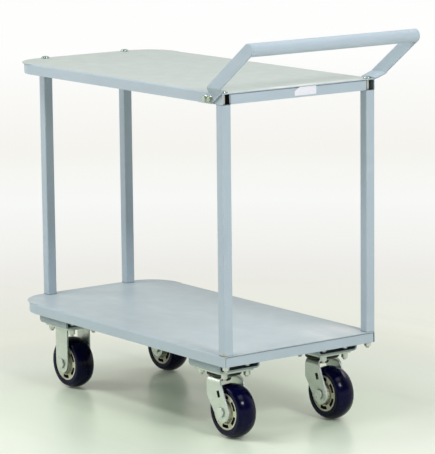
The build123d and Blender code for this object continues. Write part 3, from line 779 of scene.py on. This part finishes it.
# Painted shade: the slot's cut walls and a ring round the slot darkened nearly black on the swivel forks.
for finish in (slotted_zinc, highlit_edge_zinc):
    slot_frame = {
        "Vector": add_node(finish, "TexCoord").outputs["Object"],
        "Location": middle_of("wheel_tread_rear_left") + slot_place,
        "Rotation": (0, -slot_lean, 0),
        "Scale": (slot_half[0], through_cart, slot_half[1]),
    }
    around = add_node(finish, "Mapping", slot_frame, vector_type="TEXTURE").outputs["Vector"]
    reaches = [apart(finish, on_axis(finish, around, axis), 0.0) for axis in "XZ"]
    grime_and_shade = ranged(finish, maths(finish, "MAXIMUM", *reaches), 1.25, 1.05, high=0.95)
    recolour(finish, grime_and_shade, (0.012, 0.014, 0.012))


def cut_to(bm, outline):
    """Trims a strip to a convex outline of (x, z) points."""
    hull = [Vector(outline[index]) for index in convex_hull_2d(outline)]
    middle = sum(hull, Vector((0, 0))) / len(hull)
    for start, end in zip(hull, hull[1:] + hull[:1]):
        if (end - start).length < same_point:
            continue
        out = Vector((end.y - start.y, start.x - end.x)).normalized()
        if out.dot(start - middle) < 0:
            out = -out
        cut(bm, (start.x, 0, start.y), (out.x, 0, out.y), trim=True)


def fork_blank(node, crown_x, axle, fold, leg, straight_width, straight_end):
    """A fork's bent blank, cut to its side outline."""
    low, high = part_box(node)
    section = trough(crown_x - blank_half, axle.y - fork_half, axle.y + fork_half, low.z, high.z)
    bm = bent(section, (2 * blank_half, 0, 0), fold, fork_steps)
    front, rear = crown_x - leg / 2, crown_x + leg / 2
    outline = rounding(axle.x, axle.z, fork_end, 0, 352, 44)
    outline += [(front, high.z), (rear, high.z), (front, high.z - fold), (rear, high.z - fold)]
    outline += [(front, axle.z + straight_end), (front + straight_width, axle.z + straight_end)]
    cut_to(bm, outline)
    return bm


def on_leg(face):
    """Whether a face is on the flat of a fork's leg."""
    return abs(face.normal.y) > 0.99


for place in ("left", "right"):
    axle = middle_of(f"wheel_tread_front_{place}")
    bm = fork_blank(f"rigid_fork_{place}", axle.x, axle, rigid_fold, rigid_leg, rigid_leg, rigid_straight)
    # The cut edges take the darker plating as a painted dark reflection.
    add_piece(
        f"rigid_caster_fork_{place}", bm, "frame", pressed_zinc, f"rigid_fork_{place}",
        edge=0.0009, wall=fork_wall, sheared=dark_reflection_zinc,
    )

    axle = middle_of(f"wheel_tread_rear_{place}")
    kingpin = middle_of(f"swivel_plate_{place}")
    bm = fork_blank(
        f"swivel_fork_{place}", kingpin.x, axle, swivel_fold, swivel_leg, fork_wall, swivel_straight
    )
    middle = axle + slot_place
    for out, reach in zip((slot_along, slot_up), slot_half):
        for sign in (-1, 1):
            sides = [face for face in bm.faces if on_leg(face)]
            verts = dict.fromkeys(v for face in sides for v in face.verts)
            edges = dict.fromkeys(edge for face in sides for edge in face.edges)
            cut(bm, middle + sign * reach * out, out, geom=[*verts, *edges, *sides])
    punched = []
    for face in bm.faces:
        offset = face.calc_center_median() - middle
        in_slot = abs(offset.dot(slot_along)) < slot_half[0] and abs(offset.dot(slot_up)) < slot_half[1]
        if in_slot and on_leg(face):
            punched.append(face)
    bmesh.ops.delete(bm, geom=punched, context="FACES")
    add_piece(
        f"swivel_caster_fork_{place}", bm, f"swivel_{place}", slotted_zinc, f"swivel_fork_{place}",
        edge=0.0009, wall=fork_wall, sheared=highlit_edge_zinc,
    )
    under = -fork_wall - seat_proud
    profile = [(seat_bore, under), (seat_radius - seat_taper[0], under)]
    profile += [(seat_radius, seat_taper[1] - fork_wall), (seat_radius, -seat_edge)]
    profile += [(seat_radius - seat_edge, seat_proud), (seat_bore, seat_proud), (seat_bore, under)]
    fork_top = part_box(f"swivel_fork_{place}")[1].z
    bm = turned(profile, standing([kingpin.xy], fork_top), steps=56)
    for sign in (-1, 1):
        bend_start = (0, kingpin.y + sign * (fork_half - swivel_fold), 0)
        bmesh.ops.contextual_create(bm, geom=cut(bm, bend_start, (0, sign, 0), trim=True))
    add_piece(f"swivel_seat_{place}", bm, f"swivel_{place}", pressed_zinc, None, edge=0.0002)

# Swivel races, kingpins and their nuts: a rolled double ring turns under each rear plate on its balls, held
# by a countersunk kingpin with a big hex nut inside the fork. All are near black, partly from grease and
# partly as painted shade.
race_radius, neck_radius, race_lip = 0.042, 0.038, 0.004
race_round, neck_fillet, neck_round, race_brim = 0.0016, 0.0012, 0.001, 0.0006
kingpin_dia, kingpin_play, kingpin_thread, kingpin_pitch = 0.01905, 0.00005, 0.012, 0.0019
kingpin_head, kingpin_across, kingpin_sink = 0.027, 0.0286, 0.0037
# Near black: grease, and painted shade on the parts hidden under the plate.
grease_and_shade_steel = zinc_plate("grease_and_shade_steel", (0.05, 0.05, 0.045), (0.09, 0.09, 0.08), 0.36, 260.0)
kingpin_places = [middle_of(f"swivel_plate_{place}").xy for place in ("left", "right")]
low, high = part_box("swivel_races")
rise = high.z - low.z
bore = kingpin_dia / 2 + kingpin_play
brim = neck_radius + neck_round
profile = (
    [(bore, 0), (race_radius - race_round / 2, 0)]
    + rounding(race_radius - race_round, race_round, race_round, -60, 0, 3)
    + rounding(race_radius - race_round, race_lip - race_round, race_round, 0, 80, 4)
    + rounding(neck_radius + neck_fillet, race_lip + neck_fillet, neck_fillet, 270, 180, 4)
    + rounding(neck_radius - neck_round, rise - 2 * neck_round, neck_round, 0, 60, 3)
    + [(brim, rise - race_brim), (brim, rise), (bore, rise), (bore, 0)]
)
bm = turned(profile, standing(kingpin_places, low.z), steps=56)
add_piece("swivel_race_set", bm, "frame", grease_and_shade_steel, "swivel_races", edge=0)

low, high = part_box("kingpins")
length = high.z - low.z
collar = length - kingpin_sink
profile = thread(kingpin_dia / 2, 0, kingpin_thread, kingpin_pitch) + [(kingpin_dia / 2, collar)]
profile += [(kingpin_head / 2, collar), (kingpin_head / 2, length), (0, length)]
bm = turned(profile, standing(kingpin_places, low.z))
add_piece("kingpin_set", bm, "frame", grease_and_shade_steel, "kingpins", edge=0.0003)
low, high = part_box("kingpin_nuts")
bm = hex_pieces(kingpin_across, low.z - high.z, 0, standing(kingpin_places, high.z), bore=kingpin_dia / 2)
add_piece("kingpin_nut_set", bm, "frame", grease_and_shade_steel, "kingpin_nuts", edge=0.0004)

# Axles: a plated bolt through each fork and wheel with a low hex head on the left, a nut on
# the right, and a plain sleeve clamped between the fork legs for the bearing to run on.
axle_dia, axle_pitch, axle_end, axle_plain, axle_sunk = 0.0127, 0.002, 0.003, 0.004, 0.001
axle_across, axle_head, axle_nut, axle_sleeve = 0.0222, 0.0055, 0.011, 0.01905
half_turn = Matrix.Rotation(math.pi, 4, "X")
wheel_places = {}
for caster in cart_corners:
    wheel_places[caster] = Matrix.Translation(middle_of(f"wheel_tread_{caster}")) @ across_cart
shank = thread(axle_dia / 2, -fork_half - axle_nut - axle_end, axle_plain - fork_half, axle_pitch)
shank += [(axle_dia / 2, fork_half + axle_sunk), (0, fork_half + axle_sunk)]
sleeve = hoop(axle_dia / 2 + sleeve_play, axle_sleeve / 2, fork_wall - fork_half, fork_half - fork_wall)
for kind, wheels, body, end in (
    ("rigid", ("front_left", "front_right"), "frame", "s"),
    ("swivel", ("rear_left",), "swivel_left", "_left"),
    ("swivel", ("rear_right",), "swivel_right", "_right"),
):
    places = [wheel_places[wheel] for wheel in wheels]
    turned_over = [place @ half_turn for place in places]
    for part, bm, edge in (
        ("bolt", hex_pieces(axle_across, fork_half, fork_half + axle_head, turned_over, body=shank), 0.0003),
        ("nut", hex_pieces(axle_across, fork_half, fork_half + axle_nut, places, bore=axle_dia / 2), 0.0004),
        ("sleeve", turned(sleeve, places), 0.0004),
    ):
        add_piece(
            f"{kind}_axle_{part}_set{end}", bm, body, bright_zinc, f"{kind}_axle_{part}{end}",
            edge=edge,
        )

# Wheel cores: moulded in cream nylon, with a ring of six blind pockets a side, a recess round the hub and a
# hub that stands out to the fork. The mould leaves all its edges rounded, and the pockets are painted near
# black as shade.
core_half, hub_half, bond_radius, hub_radius, bearing_radius = 0.0236, 0.02944, 0.045, 0.02, 0.015
pocket_out, pocket_in, pocket_web, pocket_pitch, pocket_rib = 0.04, 0.032, 0.004, 60, 12
recess_radius, recess_depth, mould_draft = 0.0295, 0.014, 0.001
nylon, place = new_finish("core_nylon")
colour = blended(nylon, cloudy(nylon, place, 45.0, 0.35, 0.65), (0.6, 0.6, 0.45), (0.68, 0.68, 0.53))
grime_and_shade = between(nylon, cloudy(nylon, place, 130.0, 0.55, 0.75, 4.0), 0.0, 0.35)
colour = blended(nylon, grime_and_shade, colour, (0.3, 0.29, 0.22))
# Edges lightened: mould wear and painted highlight.
colour = blended(nylon, worn_and_highlit_edges(nylon, 0.0012, 0.4), colour, (0.78, 0.78, 0.66))
# Crevices darkened: painted shade with grime.
colour = blended(nylon, shade_and_grime_in_crevices(nylon, 0.006, 0.6), colour, (0.09, 0.085, 0.05))
rough = between(nylon, cloudy(nylon, place, 200.0, 0.3, 0.7), 0.36, 0.52)
dress(nylon, colour, rough, relief(nylon, cloudy(nylon, place, 900.0, detail=1.0), 0.00003))
# Painted shade: the pocket walls and floors in a near-black crust.
pocket_shade = crust("pocket_shade", 400.0, (0.012, 0.012, 0.008), (0.06, 0.055, 0.03), (0.7, 0.9), 0.2)


def mirrored(profile):
    """The same profile below the middle, in the other order."""
    return [(radius, -height) for radius, height in reversed(profile)]


face = [
    (bond_radius, core_half),
    (pocket_out, core_half),
    (pocket_in, core_half),
    (recess_radius, core_half),
    (recess_radius - mould_draft, core_half - recess_depth),
    (hub_radius + mould_draft, core_half - recess_depth),
    (hub_radius, hub_half),
    (bearing_radius, hub_half),
]
for caster in cart_corners:
    bm = bmesh.new()
    turn(bm, face + mirrored(face) + face[:1], steps=60)
    for sign in (-1, 1):
        pockets = []
        for item in bm.faces:
            middle = item.calc_center_median()
            level = abs(middle.z - sign * core_half) < same_point
            round_share = math.degrees(math.atan2(middle.y, middle.x)) % pocket_pitch
            between_ribs = pocket_rib < round_share < pocket_pitch - pocket_rib
            if level and between_ribs and pocket_in < middle.xy.length < pocket_out:
                pockets.append(item)
        floors = raise_faces(bm, pockets, (0, 0, sign * (pocket_web - core_half)))
        bmesh.ops.delete(bm, geom=pockets, context="FACES_KEEP_BOUNDARY")
        for v in floors:
            for item in v.link_faces:
                item.material_index = 1
    repeat(bm, [wheel_places[caster]])
    add_piece(
        f"wheel_core_{caster}_moulding", bm, f"wheel_{caster}", nylon, f"wheel_core_{caster}",
        edge=0.0006, lining=pocket_shade,
    )

# Treads: dark blue polyurethane cast and bonded round each core, round crowned with soft
# shoulders, glossy where it isn't scuffed.
tread_radius, shoulder_radius, tread_half, crown_share = 0.0658, 0.0576, 0.0254, 15 / 16
shoulder_drops = ((0.0016, 0.00012), (0.004, 0.0))
bond_drops = ((0.0016, 0.0), (0.0004, 0.0006), (0.0, 0.0018))
urethane, place = new_finish("tread_urethane", {"Specular IOR Level": 0.13})
clouds = cloudy(urethane, place, 30.0, 0.35, 0.65)
dust = between(urethane, cloudy(urethane, place, 160.0, 0.58, 0.8, 5.0), 0.0, 0.015)
colour = blended(urethane, clouds, (0.0005, 0.0007, 0.014), (0.0008, 0.0009, 0.029))
colour = blended(urethane, dust, colour, (0.3, 0.3, 0.34))
rough = between(urethane, cloudy(urethane, place, 70.0, 0.3, 0.7, 4.0), 0.12, 0.22)
dress(urethane, colour, rough, relief(urethane, cloudy(urethane, place, 320.0, detail=2.0), 0.00003))
sag = tread_radius - shoulder_radius
crown = (tread_half**2 + sag**2) / (2 * sag)
sweep = crown_share * math.degrees(math.asin(tread_half / crown))
arc = rounding(tread_radius - crown, 0, crown, -sweep, sweep, 30)
shoulder = [(shoulder_radius - inward, tread_half - down) for inward, down in shoulder_drops]
shoulder += [(bond_radius + outward, tread_half - down) for outward, down in bond_drops]
for caster in cart_corners:
    bm = turned(arc + shoulder + mirrored(shoulder) + arc[:1], [wheel_places[caster]], steps=96)
    add_piece(
        f"wheel_tread_{caster}_casting", bm, f"wheel_{caster}", urethane, f"wheel_tread_{caster}",
        edge=0,
    )

# Bearings: a plain ground bush pressed in each hub, running on the axle sleeve, with a small
# chamfer inside and out.
bush_half, bush_bore, bush_play = 0.02984, 0.009575, 0.00005
ground_steel = zinc_plate("ground_steel", (0.5, 0.52, 0.5), (0.58, 0.6, 0.58), 0.3, 600.0)
bush = hoop(bush_bore, bearing_radius - bush_play, -bush_half, bush_half)
for caster in cart_corners:
    bm = turned(bush, [wheel_places[caster]], steps=48)
    add_piece(
        f"wheel_bush_{caster}", bm, f"wheel_{caster}", ground_steel, f"wheel_bearing_{caster}",
        edge=0.0005,
    )

# Floor: a plain sealed floor, pale greenish cream under the cart with faint smears. It whitens
# and loses its shade away from the cart, to run into the white of the room.
floor_half, fade_reach = 40.0, 10.0


def seen(finish):
    """Whether the camera sees a place, straight or by gloss or glass."""
    rays = add_node(finish, "LightPath").outputs
    shown = maths(finish, "MAXIMUM", rays["Is Camera Ray"], rays["Is Glossy Ray"])
    return maths(finish, "MAXIMUM", shown, rays["Is Transmission Ray"])


bm = bmesh.new()
bmesh.ops.create_grid(bm, x_segments=1, y_segments=1, size=floor_half)
mesh = bpy.data.meshes.new("floor")
bm.to_mesh(mesh)
bm.free()
floor = bpy.data.objects.new("floor", mesh)
scene.collection.objects.link(floor)
floor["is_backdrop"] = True
ground, place = new_finish("pale_floor", {"Specular IOR Level": 0.4})
away = maths(ground, "LENGTH", place, kind="VectorMath")
fade = add_node(ground, "ValToRGB", {"Fac": ranged(ground, away, 0.0, fade_reach)})
stops = fade.color_ramp.elements
stops.remove(stops[1])
for position, tone in (
    (0.03, (0.77, 0.88, 0.7)),
    (0.065, (0.8, 0.865, 0.755)),
    (0.09, (0.83, 0.855, 0.75)),
    (0.19, (0.863, 0.855, 0.823)),
    (0.32, (0.939, 0.95, 0.93)),
    (0.45, (0.914, 0.905, 0.863)),
    (0.8, (0.991, 0.991, 0.985)),
):
    stops.new(position).color = (*tone, 1.0)
stops.remove(stops[0])
smear = cloudy(ground, drawn_out(ground, place, (3.0, 9.0, 1.0), (0, 0, 0.6)), 1.0, 0.55, 0.8, 5.0)
colour = blended(ground, between(ground, smear, 0.0, 0.12), fade.outputs["Color"], (0.55, 0.57, 0.48))
dress(ground, colour, between(ground, smear, 0.28, 0.45))
# A glow of the floor's own colour where it is seen straight or in gloss: slight even under the cart, where
# it lifts the cart's shadow, and full from about 2.5 m out.
floor_glow = ranged(ground, away, 0.1, 2.5, low=0.03, interpolation_type="SMOOTHSTEP")
floor_glow = maths(ground, "MULTIPLY", floor_glow, seen(ground))
white = add_node(ground, "Emission", {"Color": fade.outputs["Color"]}).outputs["Emission"]
sealed = ground.node_tree.nodes["Principled BSDF"].outputs["BSDF"]
lit = add_node(ground, "MixShader", {0: floor_glow, 1: sealed, 2: white}).outputs["Shader"]
ground.node_tree.links.new(lit, ground.node_tree.nodes["Material Output"].inputs["Surface"])
mesh.materials.append(ground)

# Camera: standing off the handle end's left corner, a little above the upper deck, with a long
# lens. Its place and its pixel focal length are fitted to the deck edges, legs and wheels.
azimuth, elevation, roll = math.radians(53.4178), math.radians(9.8541), math.radians(-0.6063)
camera_place = (5.433193, -3.991505, 1.622006)
focal_pixels, image_width, film_width = 2753.585, 435, 36
camera = bpy.data.objects.new("camera", bpy.data.cameras.new("camera"))
stance = Matrix.Translation(camera_place) @ Matrix.Rotation(azimuth, 4, "Z")
stance = stance @ Matrix.Rotation(math.pi / 2 - elevation, 4, "X") @ Matrix.Rotation(roll, 4, "Z")
camera.matrix_world = stance
camera.data.sensor_fit = "HORIZONTAL"
camera.data.sensor_width = film_width
camera.data.lens = film_width * focal_pixels / image_width
camera.data.clip_end = 60
scene.collection.objects.link(camera)
scene.camera = camera

# Light: five large soft lamps in a ring above the cart and a little even light from the room,
# whose pale walls, warm towards the floor, show in the gloss of the paint and plating. The
# room is dim above and behind the camera.
lamp_reach = 4.6
camera_side = (0.8, -0.6, 0.0)
world = bpy.data.worlds.new("room")
scene.world = world
world.use_nodes = True
heading = add_node(world, "TexCoord").outputs["Generated"]
height = on_axis(world, heading, "Z")
walls = blended(world, ranged(world, height, 0.1, 0.5), (1.0, 0.96, 0.82), (1.0, 1.0, 1.0))
toward = maths(world, "DOT_PRODUCT", heading, camera_side, kind="VectorMath")
dim = maths(world, "MULTIPLY", ranged(world, toward, -0.35, 0.25), ranged(world, height, 0.06, 0.25))
walls = blended(world, dim, walls, (0.1, 0.1, 0.1))
air = blended(world, seen(world), (0.29, 0.29, 0.29), walls)
straight = add_node(world, "LightPath").outputs["Is Camera Ray"]
air = blended(world, straight, air, (0.991, 0.991, 0.985))
world.node_tree.links.new(air, world.node_tree.nodes["Background"].inputs["Color"])
for name, aim, size, energy in (
    ("left_lamp", (0.0, -0.5, 0.87), (1.6, 0.6), 52),
    ("front_left_lamp", (-0.6, -0.8, 0.62), (2.0, 1.4), 58),
    ("rear_lamp", (0.87, -0.06, 0.64), (0.9, 0.6), 66),
    ("rear_top_lamp", (0.5, 0.0, 0.87), (2.0, 1.4), 25),
    ("right_lamp", (0.0, 0.75, 0.66), (2.0, 1.4), 34),
):
    lamp = bpy.data.lights.new(name, "AREA")
    lamp.shape, lamp.size, lamp.size_y, lamp.energy = "RECTANGLE", *size, energy
    stand = bpy.data.objects.new(name, lamp)
    aim = Vector(aim).normalized() * lamp_reach
    stand.matrix_world = Matrix.Translation(aim) @ aim.to_track_quat("Z", "Y").to_matrix().to_4x4()
    scene.collection.objects.link(stand)

scene.view_settings.view_transform = "Standard"

low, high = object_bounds()
